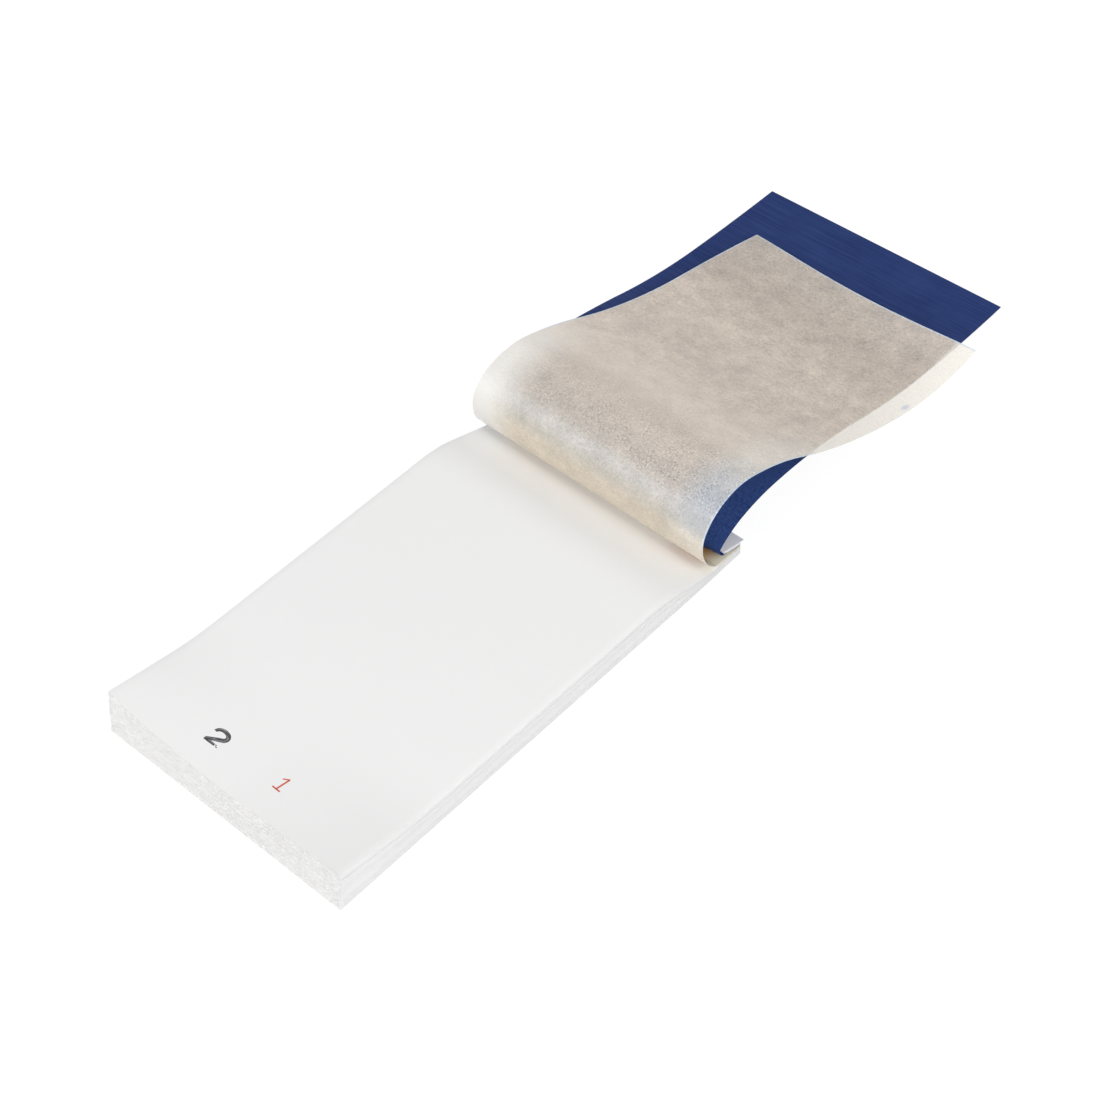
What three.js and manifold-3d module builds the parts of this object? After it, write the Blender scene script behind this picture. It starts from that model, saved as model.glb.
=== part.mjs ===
// A duplicate order pad, stapled at its far end, with its first copying set turned back over the binding.
// Millimetres, +Z up. The origin is the middle of the backing board's underside, +Y points to the binding.
import * as THREE from "three";
import { mergeVertices } from "three/addons/utils/BufferGeometryUtils.js";
import Module from "manifold-3d";

const wasm = await Module();
wasm.setup();

// Pad
const PAD_WIDTH = 76;
const PAD_LENGTH = 140;
const STACK_HEIGHT = 8.65; // top page above the table, over the flat middle of the pad
const STACK_TILT = 0.55; // the left edge stands this much higher and the right edge this much lower
const FREE_END_SET_BACK = 1.4; // the top page's free edge lies this far behind the board's
const BINDING_EDGE = PAD_LENGTH / 2;
const FREE_EDGE = -PAD_LENGTH / 2;

// Swollen free end: the leaves stand apart there and both corners curl up
const SWELL_LENGTH = 27;
const SWELL_MIDDLE = 0.75;
const SWELL_LEFT = 4.1;
const SWELL_RIGHT = 3.6;
const SWELL_CURVE_LEFT = 2.5; // power of the rise from the middle to the left corner
const SWELL_CURVE_RIGHT = 1.3;

// Pinched binding: the staples pull the stack down, and it creases where it comes back to full height
const CREASE_INSET = 28.5;
const PINCH_INSET = 11;
const BINDING_HEIGHT = 3;

// Backing board
const BOARD_THICKNESS = 0.5;
const BOARD_LIFT = 0.8; // the staples bend its binding edge up by this much
const BOARD_BEND_LENGTH = 26;

// Leaves
const LEAF_GAP = 0.04; // clearance between stacked pieces
const ORIGINAL_THICKNESS = 0.1;
const DUPLICATE_THICKNESS = 0.06;
const FIRST_BUNDLED_SET = 3;
const LAST_SET = 26;
const SETS_PER_BUNDLE = 2;
const LEAF_SCATTER = 0.22; // how far one bundle's edges stand out from the next

// Perforation of the original slips
const PERFORATION_INSET = 18.5;
const PERFORATION_PITCH = 2;
const PERFORATION_CUT = 1.35;
const PERFORATION_WIDTH = 0.15;

// Wire staples
const WIRE_DIAMETER = 0.5;
const STAPLE_CROWN = 12;
const STAPLE_SPACING = 38;
const STAPLE_INSET = 4.2;
const STAPLE_BEND_RADIUS = 0.5;
const STAPLE_CLINCH = 4;
const STAPLE_CLEARANCE = 0.12;

// Turned-back sheets. A run is [length, turn at the left edge, turn at the right edge], in degrees.
const SHEET_THICKNESS = 0.12;
const SHEET_SPACING = 0.2; // middle of one bound sheet to the middle of the next
const FOLD_GAP = 0.3; // between two pieces of one sheet, where it flexes
const DUPLICATE_BOUND = [[4.9, 0, 0], [4.4, -7.3, -11.1]]; // flat under the staples, then rising
const DUPLICATE_CREASE = [-22.4, -24.4];
const DUPLICATE_ROLL = [[12, -60.6, -49.1], [12.4, -63.35, -52.65], [12.9, -38.3, -53.4]]; // a piece each
const DUPLICATE_LEAF = [[19.3, -11.9, -18.5], [40.9, 17.05, 18.5], [30.9, -4.2, 31.3]];
const DUPLICATE_DRIFT = 0.06; // sideways, for each millimetre of sheet beyond the roll
const DUPLICATE_DRIFT_START = 25;
const CARBON_BOUND = [[4.9, 0, 0], [2.6, -15.1, -16.7]];
const CARBON_FOLD = [5.7, -97, -118.7]; // its first half stays with the bound edge
const CARBON_SHOULDER = [[10.6, -41.25, -29.6], [12, -36.1, -16.1]]; // a piece each
const CARBON_LEAF = [[36, -6.7, -16], [32.7, 10.45, 10.45], [35.4, 2.9, 6.6]];
const CARBON_DRIFT = -0.0264;
const CARBON_DRIFT_START = 14.4;
const STUB_BOUND = [[4.9, 0, 0], [3.5, -60, -60]];
const STUB_FOLD = [1.4, -132, -132];

// Facets
const LEAF_ROWS = 5; // in each stretch of a leaf's length
const LEAF_COLUMNS = 8;
const SHEET_COLUMNS = 4;
const DEGREES_PER_ROW = 9;
const LONGEST_ROW = 9;
const WIRE_SIDES = 8;

const paper = new THREE.MeshStandardMaterial({ color: 0xeeeeed, roughness: 0.85, metalness: 0 });
const flimsy = new THREE.MeshStandardMaterial({ color: 0xd8cfbe, roughness: 0.7, metalness: 0 });
const carbonBlue = new THREE.MeshStandardMaterial({ color: 0x22356e, roughness: 0.45, metalness: 0 });
const greyboard = new THREE.MeshStandardMaterial({ color: 0xd9d8d4, roughness: 0.9, metalness: 0 });
const wire = new THREE.MeshStandardMaterial({ color: 0xb9bcc0, roughness: 0.35, metalness: 1 });

const radians = (degrees) => (degrees * Math.PI) / 180;
const mix = (a, b, t) => a + (b - a) * t;
const clamp01 = (t) => Math.min(1, Math.max(0, t));

// Height of the board's underside and of the top page above the table
const boardBottom = (y) => BOARD_LIFT * clamp01((y - BINDING_EDGE + BOARD_BEND_LENGTH) / BOARD_BEND_LENGTH) ** 2;
const boardTop = (y) => boardBottom(y) + BOARD_THICKNESS;

function stackTop(x, y) {
  const side = x / (PAD_WIDTH / 2);
  const curve = side < 0 ? SWELL_CURVE_LEFT : SWELL_CURVE_RIGHT;
  const corner = (side < 0 ? SWELL_LEFT : SWELL_RIGHT) * Math.abs(side) ** curve;
  const swell = clamp01(1 - (y - FREE_EDGE) / SWELL_LENGTH) * (SWELL_MIDDLE + corner);
  const full = STACK_HEIGHT - STACK_TILT * side + swell;
  const pinch = clamp01((y - BINDING_EDGE + CREASE_INSET) / (CREASE_INSET - PINCH_INSET));
  return mix(full, BINDING_HEIGHT, pinch);
}

// A closed solid from a grid of lower and upper points: rows[i][j] = [lower, upper]
function gridSolid(rows) {
  const ni = rows.length;
  const nj = rows[0].length;
  const points = rows.flat(2);
  const at = (i, j, k) => 2 * (i * nj + j) + k;
  const faces = [];
  const quad = (a, b, c, d) => faces.push(a, b, c, a, c, d);
  for (let i = 0; i + 1 < ni; i++)
    for (let j = 0; j + 1 < nj; j++) {
      quad(at(i, j, 1), at(i, j + 1, 1), at(i + 1, j + 1, 1), at(i + 1, j, 1));
      quad(at(i, j, 0), at(i + 1, j, 0), at(i + 1, j + 1, 0), at(i, j + 1, 0));
    }
  for (let i = 0; i + 1 < ni; i++) {
    quad(at(i, 0, 0), at(i, 0, 1), at(i + 1, 0, 1), at(i + 1, 0, 0));
    quad(at(i, nj - 1, 1), at(i, nj - 1, 0), at(i + 1, nj - 1, 0), at(i + 1, nj - 1, 1));
  }
  for (let j = 0; j + 1 < nj; j++) {
    quad(at(0, j, 1), at(0, j, 0), at(0, j + 1, 0), at(0, j + 1, 1));
    quad(at(ni - 1, j, 0), at(ni - 1, j, 1), at(ni - 1, j + 1, 1), at(ni - 1, j + 1, 0));
  }
  const geometry = new THREE.BufferGeometry().setFromPoints(points);
  geometry.setIndex(faces);
  return geometry;
}

function toSolid(geometry) {
  const bare = geometry.index ? geometry.clone() : geometry;
  bare.deleteAttribute("normal");
  bare.deleteAttribute("uv");
  const merged = mergeVertices(bare, 1e-4);
  return new wasm.Manifold(
    new wasm.Mesh({
      numProp: 3,
      vertProperties: merged.attributes.position.array,
      triVerts: new Uint32Array(merged.index.array),
    }),
  );
}

function toGeometry(solid) {
  const { numProp, numVert, vertProperties, triVerts } = solid.getMesh();
  const position = new Float32Array(numVert * 3);
  for (let i = 0; i < numVert; i++) position.set(vertProperties.subarray(i * numProp, i * numProp + 3), i * 3);
  const geometry = new THREE.BufferGeometry();
  geometry.setAttribute("position", new THREE.BufferAttribute(position, 3));
  geometry.setIndex(new THREE.BufferAttribute(triVerts, 1));
  return geometry;
}

function cut(geometry, tools) {
  let solid = toSolid(geometry);
  for (const tool of tools) solid = solid.subtract(toSolid(tool));
  return toGeometry(solid);
}

function named(name, geometry, material) {
  geometry.computeVertexNormals();
  const mesh = new THREE.Mesh(geometry, material);
  mesh.name = name;
  return mesh;
}

// Staples: a crown over the stub, two legs through the stack, and ends clinched inwards under the board
const stapleY = BINDING_EDGE - STAPLE_INSET;
const boundMiddle = (layer) => BINDING_HEIGHT + SHEET_SPACING * layer;
const crownZ = boundMiddle(3) + SHEET_THICKNESS / 2 + LEAF_GAP + WIRE_DIAMETER / 2;
const clinchZ = boardBottom(stapleY) - LEAF_GAP - WIRE_DIAMETER / 2;
const stapleMiddles = [-STAPLE_SPACING / 2, STAPLE_SPACING / 2];

function staple(x) {
  const half = STAPLE_CROWN / 2;
  const r = STAPLE_BEND_RADIUS;
  const corners = [
    [-half + STAPLE_CLINCH, clinchZ], [-half, clinchZ], [-half, crownZ],
    [half, crownZ], [half, clinchZ], [half - STAPLE_CLINCH, clinchZ],
  ].map(([dx, z]) => new THREE.Vector3(x + dx, stapleY, z));
  const path = new THREE.CurvePath();
  let from = corners[0];
  for (let i = 1; i + 1 < corners.length; i++) {
    const before = corners[i].clone().add(corners[i - 1].clone().sub(corners[i]).setLength(r));
    const after = corners[i].clone().add(corners[i + 1].clone().sub(corners[i]).setLength(r));
    path.add(new THREE.LineCurve3(from, before));
    path.add(new THREE.QuadraticBezierCurve3(before, corners[i], after));
    from = after;
  }
  path.add(new THREE.LineCurve3(from, corners.at(-1)));
  const section = new THREE.Shape();
  section.absarc(0, 0, WIRE_DIAMETER / 2, 0, 2 * Math.PI);
  const steps = Math.round(path.getLength() / r);
  return new THREE.ExtrudeGeometry(section, { steps, curveSegments: WIRE_SIDES / 2, extrudePath: path });
}

function legHoles() {
  const radius = WIRE_DIAMETER / 2 + STAPLE_CLEARANCE;
  const height = 2 * crownZ;
  return stapleMiddles.flatMap((x) =>
    [-1, 1].map((side) =>
      new THREE.CylinderGeometry(radius, radius, height, WIRE_SIDES)
        .rotateX(Math.PI / 2)
        .translate(x + (side * STAPLE_CROWN) / 2, stapleY, 0),
    ),
  );
}

// One leaf, or one bundle of leaves: lower and upper height at any point, and how far its edges stand out
function leaf(lower, upper, heightShare, scatter = 0) {
  const free = FREE_EDGE + FREE_END_SET_BACK * heightShare + scatter;
  const marks = [free, FREE_EDGE + SWELL_LENGTH, BINDING_EDGE - CREASE_INSET, BINDING_EDGE - PINCH_INSET, BINDING_EDGE];
  const ys = [free];
  for (let i = 1; i < marks.length; i++)
    for (let k = 1; k <= LEAF_ROWS; k++) ys.push(mix(marks[i - 1], marks[i], k / LEAF_ROWS));
  const half = PAD_WIDTH / 2 - Math.abs(scatter);
  const rows = ys.map((y) =>
    Array.from({ length: LEAF_COLUMNS + 1 }, (_, j) => {
      const x = mix(-half, half, j / LEAF_COLUMNS);
      return [new THREE.Vector3(x, y, lower(x, y)), new THREE.Vector3(x, y, upper(x, y))];
    }),
  );
  return gridSolid(rows);
}

function perforation(heightShare) {
  const y = BINDING_EDGE - PERFORATION_INSET;
  const count = Math.floor((PAD_WIDTH - PERFORATION_PITCH) / PERFORATION_PITCH);
  const height = 4 * STACK_HEIGHT * heightShare;
  return Array.from({ length: count }, (_, i) =>
    new THREE.BoxGeometry(PERFORATION_CUT, PERFORATION_WIDTH, height)
      .translate((i - (count - 1) / 2) * PERFORATION_PITCH, y, 0),
  );
}

// The stacked pad: board, bundles of sets, and the first whole set as single leaves
function stackedPad() {
  const group = new THREE.Group();
  const holes = legHoles();
  const board = leaf((x, y) => boardBottom(y), (x, y) => boardTop(y), 0);
  group.add(named("backing_board", cut(board, holes), greyboard));

  const original = (x, y) => stackTop(x, y) - ORIGINAL_THICKNESS;
  const duplicate = (x, y) => original(x, y) - LEAF_GAP - DUPLICATE_THICKNESS;
  const bundlesTop = (x, y) => duplicate(x, y) - LEAF_GAP;
  const level = (share) => (x, y) => mix(boardTop(y), bundlesTop(x, y), share);
  const bundles = (LAST_SET - FIRST_BUNDLED_SET + 1) / SETS_PER_BUNDLE;
  for (let i = 0; i < bundles; i++) {
    const last = LAST_SET - i * SETS_PER_BUNDLE;
    const first = last - SETS_PER_BUNDLE + 1;
    const lower = (x, y) => level(i / bundles)(x, y) + LEAF_GAP;
    const scatter = LEAF_SCATTER * (i % 2) * (1 + (i % 3)) / 3;
    const bundle = leaf(lower, level((i + 1) / bundles), (i + 0.5) / bundles, scatter);
    const label = [first, last].map((n) => String(n).padStart(2, "0")).join("_to_");
    group.add(named(`sets_${label}`, cut(bundle, holes), paper));
  }
  group.add(named("duplicate_2", cut(leaf(duplicate, (x, y) => duplicate(x, y) + DUPLICATE_THICKNESS, 1), holes), flimsy));
  const slip = cut(leaf(original, stackTop, 1), [...holes, ...perforation(1)]);
  group.add(named("original_2", slip, paper));
  return group;
}

// A sheet is followed along both its edges at once, so that its roll may be a little conical.
// Each side holds its place (y, z) and its heading in degrees: 180 runs to the free end, 0 to the binding.
function sheetStart(layer) {
  const side = () => ({ y: BINDING_EDGE, z: boundMiddle(layer), heading: 180 });
  return { length: 0, sides: [side(), side()] };
}

function advance(side, length, turn) {
  const heading = side.heading + turn / 2;
  return {
    y: side.y + length * Math.cos(radians(heading)),
    z: side.z + length * Math.sin(radians(heading)),
    heading: side.heading + turn,
  };
}

// Rows of one rigid piece: its runs cut into short steps, with its two ends held back from the fold lines
function pieceRows(state, runs, drift, driftStart, endGap) {
  const rows = [];
  const keep = () => {
    const x = drift * Math.max(0, state.length - driftStart);
    rows.push({ x, length: state.length, sides: state.sides.map((side) => ({ ...side })) });
  };
  keep();
  for (const [length, ...turns] of runs) {
    const most = Math.max(...turns.map(Math.abs));
    const steps = Math.max(1, Math.ceil(most / DEGREES_PER_ROW), Math.ceil(length / LONGEST_ROW));
    for (let i = 0; i < steps; i++) {
      state.sides = state.sides.map((side, k) => advance(side, length / steps, turns[k] / steps));
      state.length += length / steps;
      keep();
    }
  }
  const shift = (row, distance) => {
    for (const side of row.sides) Object.assign(side, advance(side, distance, 0));
  };
  if (rows[0].length > 0) shift(rows[0], FOLD_GAP / 2);
  if (endGap) shift(rows.at(-1), -FOLD_GAP / 2);
  return rows;
}

function sheetSolid(rows, width = PAD_WIDTH) {
  const grid = rows.map(({ x, sides }) =>
    Array.from({ length: SHEET_COLUMNS + 1 }, (_, j) => {
      const t = j / SHEET_COLUMNS;
      const across = mix(-width / 2, width / 2, t) + x;
      const heading = radians(mix(sides[0].heading, sides[1].heading, t));
      const middle = new THREE.Vector3(across, mix(sides[0].y, sides[1].y, t), mix(sides[0].z, sides[1].z, t));
      const out = new THREE.Vector3(0, -Math.sin(heading), Math.cos(heading)).multiplyScalar(SHEET_THICKNESS / 2);
      return [middle.clone().sub(out), middle.clone().add(out)];
    }),
  );
  return gridSolid(grid);
}

// Cuts a run into equal parts, one for each rigid piece
const split = ([length, left, right], parts) => Array(parts).fill([length / parts, left / parts, right / parts]);

function turnedSheet(name, layer, material, pieces, drift, driftStart, holes) {
  const group = new THREE.Group();
  const state = sheetStart(layer);
  pieces.forEach(({ part, crease = [0, 0], runs }, i) => {
    state.sides.forEach((side, k) => (side.heading += crease[k]));
    const first = state.sides.map(({ y, z }) => [y, z]);
    const x = drift * Math.max(0, state.length - driftStart);
    const rows = pieceRows(state, runs, drift, driftStart, i + 1 < pieces.length);
    const solid = sheetSolid(rows);
    const mesh = named(`${name}_${part}`, i === 0 ? cut(solid, holes) : solid, material);
    mesh.userData.foldLine = [-1, 1].map((side, k) => [(side * PAD_WIDTH) / 2 + x, ...first[k]]);
    group.add(mesh);
  });
  return group;
}

const pieceOfEach = (runs) => runs.map((run, i) => ({ part: `roll_${i + 1}`, runs: [run] }));

function duplicateSheet() {
  const roll = pieceOfEach(DUPLICATE_ROLL);
  roll[0].crease = DUPLICATE_CREASE;
  const pieces = [
    { part: "bound_edge", runs: DUPLICATE_BOUND },
    ...roll,
    { part: "leaf", runs: DUPLICATE_LEAF },
  ];
  return turnedSheet("duplicate_1", 1, flimsy, pieces, DUPLICATE_DRIFT, DUPLICATE_DRIFT_START, legHoles());
}

function carbonSheet() {
  const [heldFold, freeFold] = split(CARBON_FOLD, 2);
  const roll = pieceOfEach(CARBON_SHOULDER);
  roll[0].runs.unshift(freeFold);
  const pieces = [
    { part: "bound_edge", runs: [...CARBON_BOUND, heldFold] },
    ...roll,
    { part: "leaf", runs: CARBON_LEAF },
  ];
  return turnedSheet("carbon", 2, carbonBlue, pieces, CARBON_DRIFT, CARBON_DRIFT_START, legHoles());
}

// What is left of the first original: a stub folded back on itself inside the carbon's roll
function originalStub() {
  const state = sheetStart(3);
  const folded = [...STUB_BOUND, STUB_FOLD];
  const flap = PERFORATION_INSET - folded.reduce((sum, [length]) => sum + length, 0);
  const rows = pieceRows(state, [...folded, [flap, 0, 0]], 0, 0, false);
  const torn = state.sides[0].y;
  const count = Math.floor(PAD_WIDTH / PERFORATION_PITCH) - 1;
  const teeth = Array.from({ length: count }, (_, i) =>
    new THREE.BoxGeometry(PERFORATION_CUT, 2 * PERFORATION_WIDTH, 2 * BINDING_HEIGHT)
      .translate((i - (count - 1) / 2) * PERFORATION_PITCH, torn, state.sides[0].z),
  );
  return named("original_1_stub", cut(sheetSolid(rows), [...teeth, ...legHoles()]), paper);
}

const orderPad = new THREE.Group();
orderPad.add(stackedPad(), duplicateSheet(), carbonSheet(), originalStub());
["left", "right"].forEach((side, i) => orderPad.add(named(`staple_${side}`, staple(stapleMiddles[i]), wire)));

export default orderPad;
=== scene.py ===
"""A stapled duplicate order pad: its first tissue and carbon are rolled back over the binding."""
import math

import bpy
import numpy as np
from mathutils import Matrix


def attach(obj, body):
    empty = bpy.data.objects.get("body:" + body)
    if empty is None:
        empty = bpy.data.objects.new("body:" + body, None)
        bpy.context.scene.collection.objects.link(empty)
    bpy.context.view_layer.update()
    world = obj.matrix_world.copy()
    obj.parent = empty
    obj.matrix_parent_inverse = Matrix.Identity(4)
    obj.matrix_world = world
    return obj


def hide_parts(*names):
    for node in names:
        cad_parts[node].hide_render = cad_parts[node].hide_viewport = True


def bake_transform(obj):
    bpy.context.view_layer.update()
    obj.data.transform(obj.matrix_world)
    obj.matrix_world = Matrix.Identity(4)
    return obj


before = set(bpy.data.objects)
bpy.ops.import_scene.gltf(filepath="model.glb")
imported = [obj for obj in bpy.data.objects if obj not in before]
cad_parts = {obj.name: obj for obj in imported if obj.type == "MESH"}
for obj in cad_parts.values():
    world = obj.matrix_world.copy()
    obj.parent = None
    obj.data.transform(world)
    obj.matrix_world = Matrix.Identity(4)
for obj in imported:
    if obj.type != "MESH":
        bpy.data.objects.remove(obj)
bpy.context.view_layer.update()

# The view: a long lens from above the near right corner, so that the free end, the right side
# and the open end of the roll all show.
camera = bpy.data.objects.new("camera", bpy.data.cameras.new("camera"))
bpy.context.scene.collection.objects.link(camera)
bpy.context.scene.camera = camera
camera.data.lens = 86.2
camera.data.clip_start = 0.02
to_right = (0.74361, 0.66847, -0.01346)
to_top = (-0.49352, 0.56235, 0.66348)
backwards = (0.45109, -0.48673, 0.74808)
stand = (0.29677, -0.27846, 0.48976)
camera.matrix_world = Matrix([*zip(to_right, to_top, backwards, stand), (0, 0, 0, 1)])
bpy.context.scene.view_settings.view_transform = "Standard"

# The light: a white tent, with a low soft lamp in front, to the left, whose sheen lies along the roll,
# a wider one at the right that keeps the side and the open end of the roll bright, and one overhead.
# The tent itself looks white, and what falls on the pad from it is dimmer.
def add_node(tree, kind, inputs=None, **settings):
    """A node with its settings, and its inputs filled from values or from other nodes' outputs"""
    node = tree.nodes.new(kind)
    for key, value in settings.items():
        setattr(node, key, value)
    for key, value in (inputs or {}).items():
        if isinstance(value, bpy.types.NodeSocket):
            tree.links.new(value, node.inputs[key])
        else:
            node.inputs[key].default_value = value
    return node


def reckon(tree, operation, a, b, **settings):
    return add_node(tree, "ShaderNodeMath", {0: a, 1: b}, operation=operation, **settings).outputs[0]


def seen_directly(tree):
    """1 for rays from the camera, from a mirror or through a clear sheet, and 0 for all others"""
    path = add_node(tree, "ShaderNodeLightPath").outputs
    clear = reckon(tree, "MAXIMUM", path["Is Glossy Ray"], path["Is Transmission Ray"])
    return reckon(tree, "MAXIMUM", path["Is Camera Ray"], clear)


def mix_shaders(tree, share, lit, seen, output):
    both = add_node(tree, "ShaderNodeMixShader", {"Fac": share, 1: lit.outputs[0], 2: seen.outputs[0]})
    tree.links.new(both.outputs[0], tree.nodes[output].inputs["Surface"])


world = bpy.data.worlds.new("tent")
bpy.context.scene.world = world
world.use_nodes = True
tent = world.node_tree
tent_light = tent.nodes["Background"]
tent_light.inputs["Strength"].default_value = 0.42
tent_light.inputs["Color"].default_value = (1, 0.998, 0.992, 1)
tent_seen = add_node(tent, "ShaderNodeBackground", {"Color": (1, 1, 1, 1)})
mix_shaders(tent, seen_directly(tent), tent_light, tent_seen, "World Output")

for name, place, size, energy in (
    ("front_lamp", (-0.50, -0.90, 0.55), 0.35, 3.5),
    ("right_lamp", (1.0, -0.3, 0.7), 1.0, 9.4),
    ("top_lamp", (-0.15, -0.30, 1.25), 0.6, 2.65),
):
    lamp = bpy.data.objects.new(name, bpy.data.lights.new(name, "AREA"))
    bpy.context.scene.collection.objects.link(lamp)
    lamp.data.size = size
    lamp.data.energy = energy
    lamp.location = place
    lamp.rotation_euler = (-lamp.location).to_track_quat("-Z", "Y").to_euler()


# The table: a plain white matt sheet, much larger than the view. Seen directly it glows a little, so
# that it is as white as the tent, but the pad's shadow stays on it.
def new_material(name):
    """A material, its node tree and its shader"""
    material = bpy.data.materials.new(name)
    material.use_nodes = True
    return material, material.node_tree, material.node_tree.nodes["Principled BSDF"]


TABLE_REACH = 4.0
table_corners = [(x * TABLE_REACH, y * TABLE_REACH, 0) for x, y in ((-1, -1), (1, -1), (1, 1), (-1, 1))]
table_mesh = bpy.data.meshes.new("table")
table_mesh.from_pydata(table_corners, [], [(0, 1, 2, 3)])
table = bpy.data.objects.new("table", table_mesh)
bpy.context.scene.collection.objects.link(table)
table_white, tree, surface = new_material("table_white")
surface.inputs["Base Color"].default_value = (0.97, 0.97, 0.97, 1)
surface.inputs["Roughness"].default_value = 1
surface.inputs["Specular IOR Level"].default_value = 0
glow = add_node(tree, "ShaderNodeEmission", {"Strength": 1.12})
mix_shaders(tree, reckon(tree, "MULTIPLY", seen_directly(tree), 0.8), surface, glow, "Material Output")
table_mesh.materials.append(table_white)


# The block of slips: thin uncoated paper, cut square at both sides and at the binding, ragged at the
# free end, where the leaves stand apart and both corners curl up. Each leaf is a thin frame here,
# because only its edges show; the pinch of the staples brings the stack down at the binding.
WIDTH, LENGTH = 76.0, 140.0
HALF, BINDING, FREE = WIDTH / 2, LENGTH / 2, -LENGTH / 2
STACK_HEIGHT, STACK_TILT, BINDING_HEIGHT = 8.65, 0.55, 3.0
SWELL_LENGTH, SWELL_MIDDLE = 27, 0.75
SWELL_LEFT, CURVE_LEFT = 4.1, 2.5
SWELL_RIGHT, CURVE_RIGHT = 3.6, 1.3
CREASE_INSET, PINCH_LENGTH, CREASE_SOFTNESS = 28.5, 17.5, 0.3
EDGE_DROOP, DROOP_WIDTH = 0.2, 1.6
BOARD_THICKNESS, BOARD_LIFT, BOARD_BEND = 0.5, 0.8, 26
LEAVES_HEIGHT = 7.3  # of all the leaves together, in the flat middle
UNDER_PAGE, LEAST_ROOM = 0.1, 0.2  # what stays free below the top page


def soft_ramp(t):
    """max(0, t) with its corner rounded on either side"""
    bend = CREASE_SOFTNESS
    return np.where(np.abs(t) < bend, (t + bend) ** 2 / (4 * bend), np.maximum(t, 0))


def page_height(x, y):
    """Height of the top page above the table"""
    side = x / HALF
    left, right = SWELL_LEFT * np.abs(side) ** CURVE_LEFT, SWELL_RIGHT * np.abs(side) ** CURVE_RIGHT
    corner = np.where(side < 0, left, right)
    swell = np.clip(soft_ramp(1 - (y - FREE) / SWELL_LENGTH), 0, 1) * (SWELL_MIDDLE + corner)
    droop = EDGE_DROOP * np.clip((np.abs(x) - HALF + DROOP_WIDTH) / DROOP_WIDTH, 0, 1) ** 2
    full = STACK_HEIGHT - STACK_TILT * side + swell - droop
    pinch = np.clip(soft_ramp((y - BINDING + CREASE_INSET) / PINCH_LENGTH), 0, 1)
    return full + (BINDING_HEIGHT - full) * pinch


def leaf_height(x, y, share):
    """Height of a leaf at its share of the way from the board to just under the top page"""
    board = BOARD_THICKNESS + BOARD_LIFT * np.clip((y - BINDING + BOARD_BEND) / BOARD_BEND, 0, 1) ** 2
    return board + (page_height(x, y) - UNDER_PAGE - board) * share


def squeeze(x, y):
    """Thickness of a leaf with its air, against that in the flat middle of the block"""
    return np.clip((page_height(x, y) - (BOARD_THICKNESS + BOARD_LIFT)) / LEAVES_HEIGHT, 0.1, 1.6)


rng = np.random.default_rng(7)


def waves(count, shortest, longest):
    """Random sine waves along an edge: rows of wavelength, phase and the phase's drift from leaf to leaf"""
    lengths = shortest * (longest / shortest) ** rng.random(count)
    return np.stack([lengths, rng.random(count) * 2 * math.pi, rng.normal(0, 1, count)], 1)


def add_up(table, x, leaf):
    total = np.zeros_like(x)
    for length, phase, drift in table:
        total += np.sin(2 * math.pi * x / length + phase + drift * leaf) * (length / table[:, 0].max()) ** 0.5
    return total / math.sqrt(len(table))


FLAT_UNIT = 200  # millimetres of paper for one unit of a sheet's flat coordinates
FLAT_MARGIN = 10  # millimetres from their zero to the sheet's first edges


def make_piece(name, points, faces, materials, uv=None, normals=None, smooth=True):
    """A piece from points and flat coordinates in millimetres"""
    mesh = bpy.data.meshes.new(name)
    mesh.from_pydata((np.asarray(points) / 1000).tolist(), [], faces)
    mesh.polygons.foreach_set("use_smooth", [smooth] * len(mesh.polygons))
    for material in materials:
        mesh.materials.append(material)
    if uv is not None:
        layer = mesh.uv_layers.new(name="flat")
        corners = np.zeros(len(mesh.loops), int)
        mesh.loops.foreach_get("vertex_index", corners)
        layer.data.foreach_set("uv", (np.asarray(uv)[corners] / FLAT_UNIT).ravel())
    if normals is not None:
        mesh.normals_split_custom_set_from_vertices(normals)
    piece = bpy.data.objects.new(name, mesh)
    bpy.context.scene.collection.objects.link(piece)
    return piece


def noise(tree, place, scale, detail, roughness=0.5, distortion=0.0):
    return add_node(tree, "ShaderNodeTexNoise", {
        "Vector": place, "Scale": scale, "Detail": detail, "Roughness": roughness,
        "Distortion": distortion}).outputs["Fac"]


# Paper grain, for every paper on the pad: pulp cloud, fine tooth and stray fibres, in millimetres.
grain = bpy.data.node_groups.new("paper_grain", "ShaderNodeTree")
for label, kind, direction in (
    ("Place", "NodeSocketVector", "INPUT"), ("Colour", "NodeSocketColor", "INPUT"),
    ("Cloud", "NodeSocketFloat", "INPUT"),
    ("Fibre", "NodeSocketFloat", "INPUT"), ("Colour", "NodeSocketColor", "OUTPUT"),
    ("Height", "NodeSocketFloat", "OUTPUT"),
):
    grain.interface.new_socket(label, in_out=direction, socket_type=kind)
given = grain.nodes.new("NodeGroupInput").outputs
cloud = noise(grain, given["Place"], 0.35, 3, 0.6)
tooth = noise(grain, given["Place"], 3.5, 4, 0.65)
fibre = add_node(grain, "ShaderNodeTexVoronoi", {"Vector": given["Place"], "Scale": 1.6, "Randomness": 1.0},
                 feature="DISTANCE_TO_EDGE")
darker = reckon(grain, "ADD", reckon(grain, "MULTIPLY", cloud, given["Cloud"]),
                reckon(grain, "MULTIPLY", tooth, given["Fibre"]))
tinted = add_node(grain, "ShaderNodeVectorMath", {
    0: given["Colour"], "Scale": reckon(grain, "SUBTRACT", 1.0, darker)}, operation="SCALE")
height = reckon(grain, "ADD", tooth, reckon(grain, "MULTIPLY", fibre.outputs["Distance"], 0.25))
add_node(grain, "NodeGroupOutput", {"Colour": tinted.outputs[0], "Height": height})


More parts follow.
